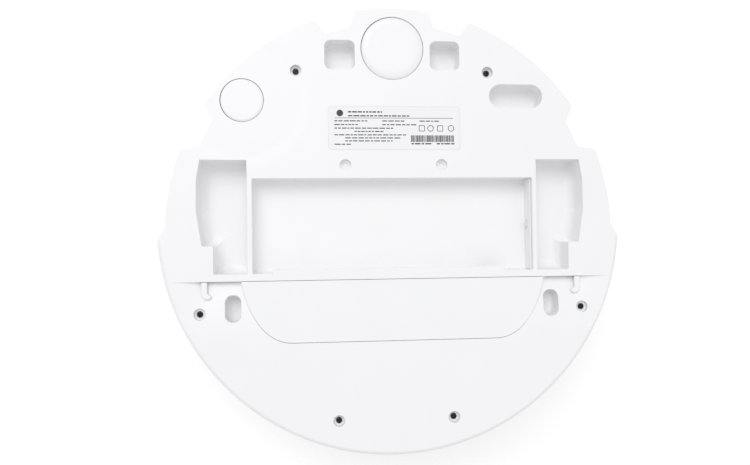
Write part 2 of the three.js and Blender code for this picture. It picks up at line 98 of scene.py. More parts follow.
def loft(name, rings):
    """Closed solid through rings of equal length, capped at both ends."""
    count = len(rings[0])
    verts = [v for ring in rings for v in ring]
    faces = [list(range(count))[::-1], [(len(rings) - 1) * count + i for i in range(count)]]
    for k in range(len(rings) - 1):
        for i in range(count):
            j = (i + 1) % count
            faces.append([k * count + i, k * count + j, (k + 1) * count + j, (k + 1) * count + i])
    return new_object(name, verts, faces)


def prism(name, points, z0, z1):
    return loft(name, [[(x, y, z) for x, y in points] for z in (z0, z1)])


def lathe(name, cx, cy, profile, segments=64):
    """Solid of revolution about a vertical axis; the profile starts and ends on the axis."""
    inner = profile[1:-1]
    verts = [(cx, cy, profile[0][1]), (cx, cy, profile[-1][1])]
    for r, z in inner:
        for i in range(segments):
            a = 2 * math.pi * i / segments
            verts.append((cx + r * math.cos(a), cy + r * math.sin(a), z))
    faces = []
    last = len(inner) - 1
    for i in range(segments):
        j = (i + 1) % segments
        faces.append([0, 2 + i, 2 + j])
        faces.append([1, 2 + last * segments + j, 2 + last * segments + i])
        for k in range(last):
            a = 2 + k * segments
            b = a + segments
            faces.append([a + i, b + i, b + j, a + j])
    return new_object(name, verts, faces)


def box(name, x0, x1, y0, y1, z0, z1):
    return prism(name, [(x0, y0), (x1, y0), (x1, y1), (x0, y1)], z0, z1)


def rod(name, x0, x1, y, z, r, segments=32):
    """Cylinder along X."""
    rings = []
    for x in (x0, x1):
        angles = [2 * math.pi * i / segments for i in range(segments)]
        rings.append([(x, y + r * math.cos(a), z + r * math.sin(a)) for a in angles])
    return loft(name, rings)


def applied(obj):
    """Replaces obj's mesh by what its modifiers make of it."""
    graph = bpy.context.evaluated_depsgraph_get()
    made = bpy.data.meshes.new_from_object(obj.evaluated_get(graph))
    obj.modifiers.clear()
    old = obj.data
    obj.data = made
    bpy.data.meshes.remove(old)
    return obj


def boolean(obj, tools, operation="DIFFERENCE"):
    for tool in tools:
        mod = obj.modifiers.new("cut", "BOOLEAN")
        mod.operation = operation
        mod.solver = "MANIFOLD"
        mod.object = tool
        applied(obj)
        bpy.data.objects.remove(tool)
    return obj


def triangulated(obj):
    bm = bmesh.new()
    bm.from_mesh(obj.data)
    bmesh.ops.triangulate(bm, faces=[f for f in bm.faces if len(f.verts) > 4])
    bm.to_mesh(obj.data)
    bm.free()
    return obj


def tidy(obj):
    bm = bmesh.new()
    bm.from_mesh(obj.data)
    bmesh.ops.remove_doubles(bm, verts=bm.verts, dist=0.004)
    bmesh.ops.dissolve_degenerate(bm, edges=bm.edges, dist=0.004)
    bm.to_mesh(obj.data)
    bm.free()
    return obj


def keep_shallow_folds(obj):
    """Marks the folds of more than 4 degrees between faces that look up."""
    bm = bmesh.new()
    bm.from_mesh(obj.data)
    for edge in bm.edges:
        upward = all(f.normal.z > 0.97 for f in edge.link_faces)
        if upward and edge.calc_face_angle(0.0) > math.radians(4):
            edge.smooth = False
    bm.to_mesh(obj.data)
    bm.free()


def soften(obj, width, segments=3, angle=38, crease=False):
    """Rounds the edges sharper than angle by width, and keeps the flat faces flat in shading."""
    if width:
        mod = obj.modifiers.new("round", "BEVEL")
        mod.width = width
        mod.segments = segments
        mod.limit_method = "ANGLE"
        mod.angle_limit = math.radians(angle)
        mod.use_clamp_overlap = False
        mod.miter_outer = "MITER_ARC"
        mod.loop_slide = False
        applied(obj)
    obj.data.polygons.foreach_set("use_smooth", [True] * len(obj.data.polygons))
    obj.data.set_sharp_from_angle(angle=math.radians(50))
    if crease:
        keep_shallow_folds(obj)
    mod = obj.modifiers.new("normals", "WEIGHTED_NORMAL")
    mod.keep_sharp = True
    mod.weight = 100
    return applied(obj)


def place(obj, body, slot, material, nodes=()):
    """Turns a finished millimetre mesh into a placed piece."""
    obj.data.transform(Matrix.Scale(MM, 4) @ Matrix.Translation((0, SHIFT_Y, 0)))
    obj.data.materials.clear()
    obj.data.materials.append(material)
    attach(obj, body)
    if nodes:
        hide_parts(*nodes)
    return obj


# ---- plan shapes ----

def arc(cx, cy, r, a0, a1, steps):
    return [
        (cx + r * math.cos(a0 + (a1 - a0) * i / steps), cy + r * math.sin(a0 + (a1 - a0) * i / steps))
        for i in range(steps + 1)
    ]


def filleted(points, corners, steps=5):
    """Rounds the named corners: corners maps a point's index to a radius."""
    out = []
    count = len(points)
    for i, p in enumerate(points):
        r = corners.get(i)
        if not r:
            out.append(p)
            continue
        here = Vector(p)
        before = Vector(points[i - 1]) - here
        after = Vector(points[(i + 1) % count]) - here
        half = before.angle(after) / 2
        cut = min(r / math.tan(half), 0.48 * before.length, 0.48 * after.length)
        a = here + before.normalized() * cut
        b = here + after.normalized() * cut
        for k in range(steps + 1):
            t = k / steps
            q = a * (1 - t) ** 2 + here * 2 * t * (1 - t) + b * t * t
            out.append((q.x, q.y))
    return out


def half_outline(inset, fine):
    """Right half of the outline, from the front's middle to the rear's, and which points are corners."""
    points = []
    corners = {}

    def add(run, first=0.0, last=0.0):
        if first:
            corners[len(points)] = first
        points.extend(run)
        if last:
            corners[len(points) - 1] = last

    tab_r = 160.4 - inset
    half = 28.0 - inset
    add(arc(0, 0, tab_r, math.pi / 2, math.acos(half / tab_r), 2 * fine), last=2.5)
    add([(half + 3, 147.3 - inset)], first=2.0)
    notch = 149.3 - inset
    a0 = math.acos((32.5 - inset) / notch)
    a1 = math.acos((51 + inset) / notch)
    add(arc(0, 0, notch, a0, a1, fine), last=2.0)
    lobe = 168.3 - inset
    a0 = math.acos((58.6 + inset) / lobe)
    a1 = math.acos((139.2 - 1.5 * inset) / lobe)
    add(arc(0, -7.2, lobe, a0, a1, 8 * fine), first=1.2, last=1.4)
    side = 153.5 - inset
    a0 = math.asin((75.4 + inset) / side)
    a1 = math.asin((56.4 - inset) / side)
    add(arc(0, 0, side, a0, a1, fine), first=2.0, last=2.5)
    band = 168.3 - inset
    a0 = math.asin((54 - inset + 7.2) / band)
    a1 = math.asin((-2 + 7.2) / band)
    add(arc(0, -7.2, band, a0, a1, 3 * fine), first=1.5, last=2.0)
    rear = 175.0 - inset
    add(arc(0, 0, rear, math.asin(-13 / rear), -math.pi / 2, 16 * fine), first=2.5)
    return points, corners


def outline(inset, fine=4):
    points, corners = half_outline(inset, fine)
    count = len(points)
    left = [(-x, y) for x, y in reversed(points[1:-1])]
    for i, r in list(corners.items()):
        corners[2 * count - 2 - i] = r
    return filleted(points + left, corners)


def rounded_rect(cx, cy, w, h, r, steps=8):
    x, y = w / 2 - r, h / 2 - r
    out = []
    for k, (sx, sy) in enumerate([(1, 1), (-1, 1), (-1, -1), (1, -1)]):
        out += arc(cx + sx * x, cy + sy * y, r, k * math.pi / 2, (k + 1) * math.pi / 2, steps)
    return out


def bezier(p0, c0, c1, p1, steps):
    out = []
    for i in range(steps + 1):
        t = i / steps
        w = ((1 - t) ** 3, 3 * t * (1 - t) ** 2, 3 * t * t * (1 - t), t ** 3)
        out.append(tuple(sum(k * p[d] for k, p in zip(w, (p0, c0, c1, p1))) for d in (0, 1)))
    return out


BAR_Y = -43.4
MOON_Y = -89.8


def moon(grow):
    x0, y0, x1, y1 = 114.3 + grow, BAR_Y + grow, 76.6, MOON_Y - grow
    side = bezier((x0, y0), (110.5 + grow, -66), (98, y1), (x1, y1), 24)
    return [(-x, y) for x, y in side] + side[::-1]


def well(side, grow=0.0):
    points = [
        (109.5 - grow, 46 + grow), (143.4 + grow, 46 + grow), (145.9 + grow, 32), (146.2 + grow, 8),
        (142.3 + grow, -17.4 - grow), (134 + grow, -17.4 - grow), (134 + grow, -38.2 - grow),
        (109.5 - grow, -38.2 - grow),
    ]
    corners = {0: 0.8, 1: 0.8, 2: 14, 3: 20, 4: 0.8, 5: 0.8, 6: 0.8, 7: 0.8}
    return [(side * x, y) for x, y in filleted(points, corners, 4)]


def offset_ring(points, distance, z):
    """The plan loop moved inwards by distance(i), at height z(i)."""
    area = sum(a[0] * b[1] - b[0] * a[1] for a, b in zip(points, points[1:] + points[:1]))
    sign = 1 if area > 0 else -1
    out = []
    count = len(points)
    for i, p in enumerate(points):
        ahead = Vector(points[(i + 1) % count]) - Vector(points[i - 1])
        inward = Vector((-ahead.y, ahead.x)).normalized() * sign
        out.append((p[0] + inward.x * distance(i), p[1] + inward.y * distance(i), z(i)))
    return out


def rim_radius(x, y):
    """Rim rounding: wide round the rear, small along the notched front."""
    t = min(1.0, max(0.0, (6 - y) / 22))
    return 0.8 + 2.4 * t * t * (3 - 2 * t)


def rounded_slab(name, points, z0, z1, up, steps=5):
    """Slab with its outer edge rounded at the top (up) or at the bottom."""
    radii = [rim_radius(x, y) for x, y in points]
    flat, edge = (z0, z1) if up else (z1, z0)
    sign = 1 if up else -1
    rings = [[(x, y, flat) for x, y in points]]
    for k in range(steps + 1):
        a = math.pi / 2 * k / steps
        rings.append(offset_ring(
            points,
            lambda i: radii[i] * (1 - math.cos(a)),
            lambda i: edge - sign * radii[i] * (1 - math.sin(a)),
        ))
    return loft(name, rings)


# ---- materials ----

def node(tree, kind, **values):
    made = tree.nodes.new(kind)
    for key, value in values.items():
        setattr(made, key, value)
    return made


def material(name, low, high, rough, bump, grain, spread=40.0, metallic=0.0, glow=0.0):
    """Satin or metal surface: colour, roughness and bump all come from noise."""
    mat = bpy.data.materials.new(name)
    mat.use_nodes = True
    tree = mat.node_tree
    tree.nodes.clear()
    out = node(tree, "ShaderNodeOutputMaterial")
    shader = node(tree, "ShaderNodeBsdfPrincipled")
    shader.inputs["Metallic"].default_value = metallic
    shader.inputs["Coat Weight"].default_value = 0.0
    shader.inputs["Specular IOR Level"].default_value = 0.5
    shader.inputs["Emission Color"].default_value = (1, 1, 1, 1)
    shader.inputs["Emission Strength"].default_value = glow
    coord = node(tree, "ShaderNodeTexCoord")
    broad = node(tree, "ShaderNodeTexNoise")
    broad.inputs["Scale"].default_value = spread
    broad.inputs["Detail"].default_value = 4.0
    fine = node(tree, "ShaderNodeTexNoise")
    fine.inputs["Scale"].default_value = grain
    fine.inputs["Detail"].default_value = 3.0
    ramp = node(tree, "ShaderNodeMix", data_type="RGBA")
    ramp.inputs["A"].default_value = (*low, 1)
    ramp.inputs["B"].default_value = (*high, 1)
    level = node(tree, "ShaderNodeMapRange")
    level.inputs["To Min"].default_value = rough[0]
    level.inputs["To Max"].default_value = rough[1]
    height = node(tree, "ShaderNodeBump")
    height.inputs["Strength"].default_value = bump
    height.inputs["Distance"].default_value = 0.0002
    link = tree.links.new
    link(coord.outputs["Object"], broad.inputs["Vector"])
    link(coord.outputs["Object"], fine.inputs["Vector"])
    link(broad.outputs["Fac"], ramp.inputs["Factor"])
    link(ramp.outputs["Result"], shader.inputs["Base Color"])
    link(broad.outputs["Fac"], level.inputs["Value"])
    link(level.outputs["Result"], shader.inputs["Roughness"])
    link(fine.outputs["Fac"], height.inputs["Height"])
    link(height.outputs["Normal"], shader.inputs["Normal"])
    link(shader.outputs["BSDF"], out.inputs["Surface"])
    return mat


SHELL = material("shell_white", (0.885, 0.885, 0.90), (0.905, 0.905, 0.92), (0.36, 0.46), 0.06, 2600)
# Lighter copy of the shell's white for the wheel wells, the brush bay and the gear case: painted light
# that brightens these recesses against their own shade.
PAINTED_LIGHT_LINER = material("liner_white_painted_light", (0.90, 0.90, 0.91), (0.92, 0.92, 0.93), (0.42, 0.52), 0.08, 2200)
IVORY = material("inner_white", (0.80, 0.80, 0.81), (0.86, 0.86, 0.87), (0.45, 0.6), 0.1, 1800)
BUTTON = material("button_white", (0.74, 0.74, 0.76), (0.80, 0.80, 0.82), (0.25, 0.35), 0.05, 2400)
DARK = material("dark_plastic", (0.016, 0.016, 0.018), (0.03, 0.03, 0.033), (0.45, 0.62), 0.2, 1800)
GREY = material("grey_plastic", (0.08, 0.085, 0.09), (0.12, 0.125, 0.13), (0.4, 0.55), 0.15, 1800)
SMOKE = material("smoked_plastic", (0.05, 0.052, 0.057), (0.08, 0.083, 0.09), (0.12, 0.2), 0.05, 1500)
STEEL = material("motor_steel", (0.5, 0.5, 0.52), (0.66, 0.66, 0.68),
                 (0.25, 0.4), 0.1, 3000, metallic=1.0)
SCREW = material("screw_black", (0.02, 0.02, 0.022), (0.05, 0.05, 0.055),
                 (0.3, 0.5), 0.2, 4000, metallic=0.9)
WRAP = material("battery_wrap", (0.035, 0.06, 0.12), (0.05, 0.08, 0.16), (0.28, 0.4), 0.1, 900)
BOARD = material("circuit_board", (0.008, 0.07, 0.03), (0.015, 0.1, 0.045), (0.35, 0.5), 0.15, 1200)
PAPER = material("filter_paper", (0.62, 0.63, 0.64), (0.75, 0.76, 0.77), (0.85, 0.95), 0.5, 1500)
RUBBER = material("belt_rubber", (0.01, 0.01, 0.01), (0.02, 0.02, 0.02), (0.7, 0.85), 0.3, 2500)
LABEL = material("label_film", (0.86, 0.86, 0.875), (0.88, 0.88, 0.895), (0.5, 0.6), 0.04, 3000)
# Lighter copy of the shell's white for the sensor, oval and clip cups: painted light that brightens the
# pocket floors against their own shade.
PAINTED_LIGHT_CUP = material("cup_white_painted_light", (0.90, 0.90, 0.91), (0.925, 0.925, 0.935), (0.45, 0.55), 0.08, 2200)
INK = material("label_ink", (0.035, 0.035, 0.04), (0.07, 0.07, 0.075), (0.5, 0.65), 0.05, 3000)


# ---- underside ----

SCREWS = [(-72.7, 112.5), (72.7, 112.5), (-144.3, -67.2), (144.3, -67.2), (-43.3, -148), (43.3, -148)]
OPEN_BORES = [(-36.4, 42), (36.4, 42)]
CASTER = (0.0, 130.1)
BRUSH = (-112.3, 90.1)
BAY = (-105.8, 106.3, -38.2, 32.2)          # x from and to, y from and to
POCKET = (39.8, 124.8, 22.6, 21.8, 4.5)     # middle, width, height, corner radius
OVAL = (94.7, 94.4, 41.5, 18, 8.99)
CLIP_SLOT = (120.2, -63.7, 11.7, 19.8, 5.3)
RECESS_DEEP = 5.5
RECESS_LONG = 48
RECESS_IN, RECESS_FADE, RECESS_OUT = 60, 140, 170       # inner end, start of the fade, outer end
DISH_DEEP = 0.5
LABEL_SPOT = (1, 69.7)
CUT_TOP = 90                                # cutters stand clear of the cover up to here


def mirrored(shape, side):
    return (side * shape[0], *shape[1:])


def recess_backing(side):
    """Wedge left standing in the cavity, so that the cover stays thick under the recess."""
    z, deep, end = TOP - 2.5, TOP - 9.0, BAR_Y - RECESS_LONG
    corners = [
        (RECESS_IN, BAR_Y, z), (RECESS_IN, BAR_Y, deep), (RECESS_IN, end, z),
        (RECESS_FADE, BAR_Y, deep), (RECESS_FADE, end, z), (RECESS_OUT, BAR_Y, z),
    ]
    bm = bmesh.new()
    for x, y, h in corners:
        bm.verts.new((side * x, y, h))
    bmesh.ops.convex_hull(bm, input=bm.verts)
    mesh = bpy.data.meshes.new("recess_backing")
    bm.to_mesh(mesh)
    bm.free()
    obj = bpy.data.objects.new("recess_backing", mesh)
    bpy.context.scene.collection.objects.link(obj)
    return obj


def depth(x, y):
    """Depth of the recess beside the half-moon panel, running out smoothly to the rear and the side."""
    t = min(1.0, max(0.0, (BAR_Y - y) / RECESS_LONG))
    u = min(1.0, max(0.0, (abs(x) - RECESS_FADE) / (RECESS_OUT - RECESS_FADE)))
    return RECESS_DEEP * (1 - t) ** 2 * (1 - u) ** 2


def hollow(side):
    """Cutter with the recess's curved floor."""
    rings = []
    fade = [RECESS_FADE + (RECESS_OUT - RECESS_FADE) * k / 10 for k in range(11)]
    for x in [RECESS_IN, *fade]:
        run = [BAR_Y - RECESS_LONG * k / 20 for k in range(21)]
        ring = [(side * x, y, TOP - depth(x, y) + 0.01) for y in run]
        rings.append(ring + [(side * x, run[-1], TOP + 6), (side * x, BAR_Y, TOP + 6)])
    return loft("hollow", rings)


def dish():
    """Shallow dish round the side brush disc."""
    x, y = BRUSH
    bottom, flat, slope = TOP - DISH_DEEP, 40, 13
    profile = [(0, bottom), (flat, bottom)]
    for k in range(1, 9):
        t = k / 8
        profile.append((flat + slope * t, bottom + 0.52 * t * t * (3 - 2 * t)))
    profile += [(56, TOP + 0.1), (56, TOP + 5), (0, TOP + 5)]
    return lathe("dish", x, y, profile, 96)


def surface(x, y):
    """Height of the underside, which sinks into the recesses beside the half-moon panel."""
    if y > BAR_Y:
        return TOP
    return TOP - depth(x, y)


def flared(name, plan, floor, top=surface, r=0.35, steps=4):
    """Cutter whose walls round outwards where they meet the surface; plan(grow) is its outline."""
    rings = [[(x, y, floor) for x, y in plan(0)]]
    for k in range(steps + 1):
        a = math.pi / 2 * k / steps
        drop = r * (1 - math.sin(a))
        rings.append([(x, y, top(x, y) - drop) for x, y in plan(r * (1 - math.cos(a)))])
    rings.append([(x, y, TOP + 6) for x, y in plan(r)])
    return loft(name, rings)


def circle(x, y, r, steps=48):
    return lambda grow: arc(x, y, r + grow, 0, 2 * math.pi * (1 - 1 / steps), steps - 1)


def slot_plan(x, y, w, h, r, steps=8):
    return lambda grow: rounded_rect(x, y, w + 2 * grow, h + 2 * grow, r + grow, steps)


def bay_plan(grow):
    """The bay's mouth, with the lip that stands in from the cross bar."""
    x0, x1, y0, y1 = BAY[0] - grow, BAY[1] + grow, BAY[2] - grow, BAY[3] + grow
    a, b, lip = -90.8 + grow, 83.4 - grow, -35 - grow
    points = [(x0, y0), (a, y0), (a, lip), (b, lip), (b, y0), (x1, y0), (x1, y1), (x0, y1)]
    return filleted(points, {i: 0.9 for i in (0, 2, 3, 5, 6, 7)}, 4)


def drum(name, x, y, r, z0, z1, segments=32):
    return lathe(name, x, y, [(0, z0), (r, z0), (r, z1), (0, z1)], segments)


def cover_cavity():
    """Inside of the base cover, less what thickens it behind the panel, recesses, screws and slots."""
    cavity = prism("cavity", outline(WALL, 2), SPLIT - 1, CEILING)
    boolean(cavity, [prism("backing", moon(3), 77.5, TOP)])
    boolean(cavity, [recess_backing(s) for s in (-1, 1)])
    bosses = [drum("boss", x, y, 6.3, 70, CUT_TOP) for x, y in SCREWS + OPEN_BORES]
    x, y = CLIP_SLOT[:2]
    bosses += [prism("collar", rounded_rect(s * x, y, 14.7, 22.8, 6.8), 75.2, CUT_TOP) for s in (-1, 1)]
    return boolean(cavity, bosses)


def opening_cutters():
    below = 75
    cutters = [dish(), flared("bay", bay_plan, below), flared("moon", moon, TOP - 3.3, r=0.2)]
    cutters += [flared("well", lambda g, s=s: well(s, g), below) for s in (-1, 1)]
    cutters += [flared("pocket", slot_plan(*mirrored(POCKET, s)), below) for s in (-1, 1)]
    cutters += [flared("oval", slot_plan(*OVAL, 14), below)]
    cutters += [flared("slot", slot_plan(*mirrored(CLIP_SLOT, s)), 60) for s in (-1, 1)]
    cutters += [flared("counterbore", circle(x, y, 4.3), 79.8) for x, y in SCREWS]
    cutters += [drum("bore", x, y, 1.9, 60, 82) for x, y in SCREWS]
    cutters += [flared("counterbore", circle(x, y, 4.3), 80.4) for x, y in OPEN_BORES]
    cutters += [drum("bore", x, y, 2.4, 79.4, 82) for x, y in OPEN_BORES]
    caster_hole = circle(CASTER[0] - 0.16, CASTER[1], 23.82, 120)
    brush_hole = circle(BRUSH[0] - 0.12, BRUSH[1] + 0.14, 16.1, 96)
    cutters += [flared("hole", caster_hole, 70)]
    cutters += [flared("hole", brush_hole, 70, lambda x, y: TOP - DISH_DEEP)]
    seat = rounded_rect(*LABEL_SPOT, 99.95, 32.75, 2.35, 8)
    cutters += [prism("label_seat", seat, TOP - 0.32, CUT_TOP)]
    cutters += [exhaust_sector("vent", 165, 180, 54, 68, -73, -53)]
    return cutters


def base_cover():
    shell = triangulated(rounded_slab("base_cover_shell", outline(0), SPLIT + 0.3, TOP, True))
    boolean(shell, [cover_cavity()])
    for side in (-1, 1):
        boolean(shell, [boolean(hollow(side), [prism("moon", moon(0), 60, 100)])])
    boolean(shell, opening_cutters())
    soften(triangulated(shell), 0, crease=True)
    place(shell, BODY, "white_shell", SHELL, ["base_cover"])


def exhaust_sector(name, r0, r1, z0, z1, a0, a1, steps=16):
    a0, a1 = math.radians(a0), math.radians(a1)
    return prism(name, arc(0, 0, r1, a0, a1, steps) + arc(0, 0, r0, a1, a0, steps), z0, z1)


def rear_panel():
    panel = prism("rear_panel_plate", moon(-0.3), TOP - 3, TOP)
    soften(panel, 0.35)
    place(panel, BODY, "white_shell", SHELL, ["rear_panel"])


def catch(side, name):
    """Hooked arm beside the cross bar, with its hook turned to the middle."""
    points = [
        (143.1, BAR_Y - 0.4), (143.1, -53.4), (141.4, -56), (138.2, -56.6), (135.7, -55.4),
        (135.7, -53.6), (137.4, -53.2), (138.6, -52), (138.6, BAR_Y - 0.4),
    ]
    rounds = {1: 2.4, 2: 1.6, 3: 1.6, 4: 0.9, 5: 0.7, 6: 0.8, 7: 1.0}
    ring = [(side * x, y) for x, y in filleted(points, rounds, 4)]
    hook = prism(f"{name}_hook", ring, 81, TOP - 0.4)
    soften(hook, 0.9, segments=4, angle=60)
    place(hook, f"{name.split('_')[1]}_catch", "white_shell", SHELL, [name])


def tub(name, shape, z0, z1, floor, wall, fillet=2.5, steps=4):
    """Open tub: shape(grow) gives its plan, and its floor meets the walls in a fillet."""
    rings = [[(x, y, z) for x, y in shape(g)] for g, z in ((wall, z0), (wall, z1), (0, z1))]
    for k in range(steps + 1):
        a = math.pi / 2 * k / steps
        z = floor + fillet * (1 - math.sin(a))
        rings.append([(x, y, z) for x, y in shape(-fillet * (1 - math.cos(a)))])
    return loft(name, rings)


TUB_TOP = CEILING - 0.05
TUB_WALL = 1.4


def wells():
    for side, name in ((-1, "wheel_well_right"), (1, "wheel_well_left")):
        piece = tub(f"{name}_tub", lambda g: well(side, g), 59.6, TUB_TOP, 61, TUB_WALL, 7.5, 8)
        soften(piece, 0)
        place(piece, BODY, "white_shell", PAINTED_LIGHT_LINER, [name])


def brush_bay():
    x0, x1, y0, y1 = BAY
    axis = (-3, 70.5)          # y and z of the main brush's axis

    def plan(grow):
        width, height = x1 - x0 + 2 * grow, y1 - y0 + 2 * grow
        return rounded_rect((x0 + x1) / 2, (y0 + y1) / 2, width, height, max(0.5, 1 + grow), 4)

    piece = tub("brush_bay_tub", plan, 64.6, TUB_TOP, 66, TUB_WALL, 2.5, 5)
    boolean(piece, [box("mouth", x1 - 40, x1 - 20, y0 - 5, y0 + 1, 70, 76)])
    tidy(piece)
    soften(piece, 0)
    place(piece, BODY, "white_shell", PAINTED_LIGHT_LINER, ["brush_bay"])

    case = box("brush_gear_case_block", 105.3, x1 - 0.1, y0 + 0.3, y1 - 0.3, 67, 80.3)
    boolean(case, [rod("seat", 100, 105.8, *axis, 3.4, 40)])
    tidy(case)
    soften(case, 0.3, 2)
    place(case, BODY, "white_shell", PAINTED_LIGHT_LINER, ["brush_gear_case"])

    hexagon = rod("brush_coupling_hex", 104.7, 105.7, *axis, 3.2, 6)
    soften(hexagon, 0.3, 2)
    place(hexagon, "coupling", "ivory_plastic", IVORY, ["brush_coupling"])


def cups():
    z0, wall, clip_top = 66, 1.5, 75
    for name, shape, top in (
        ("sensor_cup_right", mirrored(POCKET, -1), TUB_TOP),
        ("sensor_cup_left", POCKET, TUB_TOP),
        ("oval_cup", OVAL, TUB_TOP),
        ("clip_cup_right", mirrored(CLIP_SLOT, -1), clip_top),
        ("clip_cup_left", CLIP_SLOT, clip_top),
    ):
        x, y, w, h, r = shape
        plan = lambda g: rounded_rect(x, y, w + 2 * g, h + 2 * g, max(0.6, r + g), 10)
        piece = tub(f"{name}_tub", plan, z0, top, z0 + wall, wall, 3.2, 5)
        soften(piece, 0)
        place(piece, BODY, "ivory_plastic", PAINTED_LIGHT_CUP, [name])


def domed_disc(name, cx, cy, r, z_edge, z_top, fall, stem, bottom, segments):
    """Disc on a stem; its top is flat in the middle and curves down to the rim."""
    back, chamfer = 80.8, 0.3
    profile = [(0, bottom), (stem, bottom), (stem, back), (r - chamfer, back), (r, 81.1)]
    profile.append((r, z_edge - 0.3))
    for k in range(1, 9):
        a = math.pi / 2 * k / 8
        z = z_edge - 0.3 + (z_top - z_edge + 0.3) * math.sin(a)
        profile.append((r - fall * (1 - math.cos(a)), z))
    profile.append((0, z_top + 0.05))
    piece = lathe(name, cx, cy, profile, segments)
    return soften(piece, 0)


def discs():
    caster = domed_disc("caster_blank", *CASTER, 23.5, 82.7, 85.1, 5.6, 4.5, 72, 128)
    place(caster, "caster", "white_shell", SHELL, ["caster_disc"])
    hub = domed_disc("side_brush_blank", *BRUSH, 15.75, 83.5, 84.6, 1.8, 3.5, 74, 96)
    place(hub, "side_brush", "white_shell", SHELL, ["side_brush_hub"])


def screws():
    """Cover screws with a cross recess, each turned its own way."""
    for i, (x, y) in enumerate(SCREWS):
        profile = [(0, 57), (1.5, 58), (1.5, 79.9), (2.2, 79.9), (2.3, 80.1), (2.3, 80.6)]
        profile += [(2.15, 80.9), (1.8, 81.1), (1.2, 81.15), (0, 81.15)]
        head = lathe(f"cover_screw_{i + 1}_head", x, y, profile, 32)
        turn = 0.4 + 1.1 * i
        for k in (0, 1):
            a = turn + k * math.pi / 2
            dx, dy = 1.5 * math.cos(a), 1.5 * math.sin(a)
            nx, ny = -0.28 * math.sin(a), 0.28 * math.cos(a)
            arm = [
                (x + dx + nx, y + dy + ny), (x - dx + nx, y - dy + ny),
                (x - dx - nx, y - dy - ny), (x + dx - nx, y + dy - ny),
            ]
            boolean(head, [prism("arm", arm, 80.3, 82)])
        tidy(head)
        soften(head, 0)
        place(head, BODY, "dark_screw", SCREW, [f"cover_screw_{i + 1}"])


def rating_label():
    """Film with plain bars, dashes and outlines, laid out from its upper corner, right and down."""
    film = prism("rating_label_film", rounded_rect(*LABEL_SPOT, 99.8, 32.6, 2.3, 8), TOP - 0.3, TOP + 0.1)
    soften(film, 0.08, 2)
    place(film, BODY, "label", LABEL, ["rating_label"])

    left, top = LABEL_SPOT[0] - 49.9, LABEL_SPOT[1] + 16.3
    z0, z1 = TOP + 0.08, TOP + 0.13
    dash, gap, shortest = (1.536, 4.607), (0.558, 0.907), 0.977
    draw = random.Random(7)
    parts = []

    def bar(x0, y0, x1, y1):
        parts.append(box("bar", left + x0, left + x1, top - y1, top - y0, z0, z1))

    def row(x0, x1, y, height=0.77):
        """A line of print as a run of plain dashes."""
        x = x0
        while x < x1 - shortest:
            width = min(draw.uniform(*dash), x1 - x)
            bar(x, y - height / 2, x + width, y + height / 2)
            x += width + draw.uniform(*gap)

    row(14.8, 40.48, 4.19, 1.05)
    row(14.8, 61.08, 7.12, 0.91)
    bar(4.89, 8.59, 94.58, 8.93)
    for x0, x1, y in (
        (4.54, 30.71, 10.96), (40.48, 57.24, 10.96), (68.75, 84.11, 10.96), (4.54, 22.69, 13.75),
        (40.48, 66.31, 13.75), (4.54, 49.56, 16.4), (19.54, 41.88, 18.85), (4.54, 58.63, 21.43),
        (12.56, 54.79, 23.73), (12.56, 48.16, 25.97), (4.54, 16.75, 28.48),
    ):
        row(x0, x1, y)
    row(62.47, 77.83, 28.06, 0.98)
    row(81.67, 95.28, 28.06, 0.98)
    x, code_end = 62.12, 94.79
    while x < code_end:
        width = draw.choice((0.349, 0.558, 0.838))
        bar(x, 21.71, x + width, 26.73)
        x += width + draw.choice((0.209, 0.279, 0.419))
    parts.append(drum("dot", left + 8.73, top - 5.1, 2.5, z0, z1, 40))
    for k, x in enumerate((70.5, 77.13, 84.46, 92.83)):
        cx, cy = left + x, top - 16.4
        if k % 2:
            outer, inner = drum("ring", cx, cy, 2.4, z0, z1, 40), drum("core", cx, cy, 1.9, 80, 90, 40)
        else:
            outer = prism("ring", rounded_rect(cx, cy, 4.6, 4.6, 0.7), z0, z1)
            inner = prism("core", rounded_rect(cx, cy, 3.7, 3.7, 0.5), 80, 90)
        parts.append(boolean(outer, [inner]))
    place(joined("rating_label_print", parts), BODY, "label", INK)


def joined(name, parts):
    bm = bmesh.new()
    for part in parts:
        bm.from_mesh(part.data)
        bpy.data.objects.remove(part)
    mesh = bpy.data.meshes.new(name)
    bm.to_mesh(mesh)
    bm.free()
    obj = bpy.data.objects.new(name, mesh)
    bpy.context.scene.collection.objects.link(obj)
    return obj


# ---- upper half ----

HINGE = (-48, 16.2)        # y and z of the dust lid's axis
TURRET = (0, 12)
BUTTON_X, BUTTON_Y = 14, 112


def lid_plan(half, front, r, front_corner, steps=40):
    """The dust lid's outline: straight at the hinge and the sides, round at the rear."""
    corner = math.acos(half / r)
    rear = arc(0, 0, r, math.pi + corner, 2 * math.pi - corner, steps)
    points = [(-half, front)] + rear + [(half, front)]
    last = len(points) - 1
    return filleted(points, {0: front_corner, 1: 5, last - 1: 5, last: front_corner}, 5)


def top_cover():
    shell = rounded_slab("top_cover_shell", outline(0), FACE, SPLIT, False)
    cavity = prism("cavity", outline(WALL, 2), FACE + WALL, SPLIT + 1)
    ears = [box("ear", x, x + 5.4, -51.5, -44.5, FACE + 1, 20) for x in (-86, 80.6)]
    boolean(cavity, ears)
    boolean(shell, [
        cavity,
        prism("lid_hole", lid_plan(80.5, -45.2, 156.4, 0.5), FACE - 1, FACE + 3.1),
        rod("pin_hole", -84.5, 84.5, *HINGE, 1.3, 24),
        drum("turret_hole", *TURRET, 33, 10, 20, 96),
        *[drum("hole", s * BUTTON_X, BUTTON_Y, 8.4, 10, 20, 48) for s in (-1, 1)],
    ])
    tidy(shell)
    soften(shell, 0.35)
    place(shell, BODY, "white_shell", SHELL, ["top_cover"])


